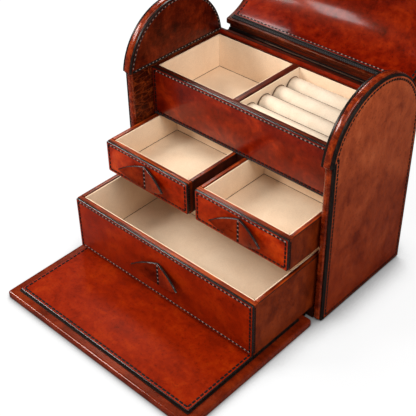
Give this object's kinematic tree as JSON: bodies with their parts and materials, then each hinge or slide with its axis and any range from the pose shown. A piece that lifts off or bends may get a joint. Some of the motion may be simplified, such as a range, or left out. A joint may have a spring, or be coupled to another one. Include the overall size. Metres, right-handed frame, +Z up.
{
  "type": "jewellery box",
  "caption": "Leather jewellery box with an arched barrel lid on a rear hinge, a fall front hinged at its base, a lined tray with ring rolls and pull-out lined drawers with leaf-shaped tabs.",
  "frame": {"origin": "middle of the box base, on the surface that it stands on", "axes": "+Z up, -Y towards the front where the drawers and the flap open, +X to the side with the ring compartment"},
  "size_m": [0.281, 0.4072, 0.349],
  "materials": {
    "leather": "mottled antique cognac, polished",
    "leather_dark": "dark cognac, satin",
    "leather_side": "plain tan brown, satin",
    "suede": "cream suede, matt",
    "ring_roll": "cream suede over padding, matt",
    "hinge_metal": "dark antique brass"
  },
  "bodies": {
    "box": {"base_board": "leather_dark", "back_panel": "leather_dark", "left_end_panel": "leather", "right_end_panel": "leather", "left_end_skin": "leather_side", "right_end_skin": "leather_side", "left_arch_panel": "leather_dark", "right_arch_panel": "leather_dark", "drawer_shelf": "leather_dark", "drawer_partition": "leather_dark", "tray_floor": "leather_dark", "tray_front": "leather", "tray_back_wall": "leather", "tray_left_wall": "leather", "tray_right_wall": "leather", "tray_divider": "leather", "tray_lining": "suede", "ring_lining": "suede", "ring_roll_1": "ring_roll", "ring_roll_2": "ring_roll", "ring_roll_3": "ring_roll", "ring_roll_4": "ring_roll", "lid_hinge_box_leaf": "hinge_metal", "lid_hinge_pin": "hinge_metal", "flap_hinge_box_leaf": "hinge_metal", "flap_hinge_pin": "hinge_metal"},
    "lid": {"lid_shell": "leather", "lid_panel": "leather", "lid_hinge_lid_leaf": "hinge_metal"},
    "flap": {"flap_board": "leather", "flap_panel": "leather", "flap_hinge_flap_leaf": "hinge_metal"},
    "wide_drawer": {"wide_drawer_front": "leather", "wide_drawer_left_side": "leather_side", "wide_drawer_right_side": "leather_side", "wide_drawer_back": "leather_side", "wide_drawer_bottom": "leather_dark", "wide_drawer_lining": "suede", "wide_drawer_tab": "leather"},
    "left_drawer": {"left_drawer_front": "leather", "left_drawer_left_side": "leather_side", "left_drawer_right_side": "leather_side", "left_drawer_back": "leather_side", "left_drawer_bottom": "leather_dark", "left_drawer_lining": "suede", "left_drawer_tab": "leather"},
    "right_drawer": {"right_drawer_front": "leather", "right_drawer_left_side": "leather_side", "right_drawer_right_side": "leather_side", "right_drawer_back": "leather_side", "right_drawer_bottom": "leather_dark", "right_drawer_lining": "suede", "right_drawer_tab": "leather"}
  },
  "joints": [
    {"name": "lid_hinge", "type": "hinge", "parent": "box", "child": "lid", "pos_m": [0, 0.0752, 0.1974], "axis": [1, 0, 0], "range_deg": [0, 90]},
    {"name": "flap_hinge", "type": "hinge", "parent": "box", "child": "flap", "pos_m": [0, -0.077, 0.004], "axis": [-1, 0, 0], "range_deg": [0, 1.2]},
    {"name": "wide_drawer_slide", "type": "slide", "parent": "box", "child": "wide_drawer", "axis": [0, -1, 0], "range_m": [-0.1093, 0.008]},
    {"name": "left_drawer_slide", "type": "slide", "parent": "box", "child": "left_drawer", "axis": [0, -1, 0], "range_m": [-0.0763, 0.01]},
    {"name": "right_drawer_slide", "type": "slide", "parent": "box", "child": "right_drawer", "axis": [0, -1, 0], "range_m": [-0.0763, 0.01]}
  ]
}
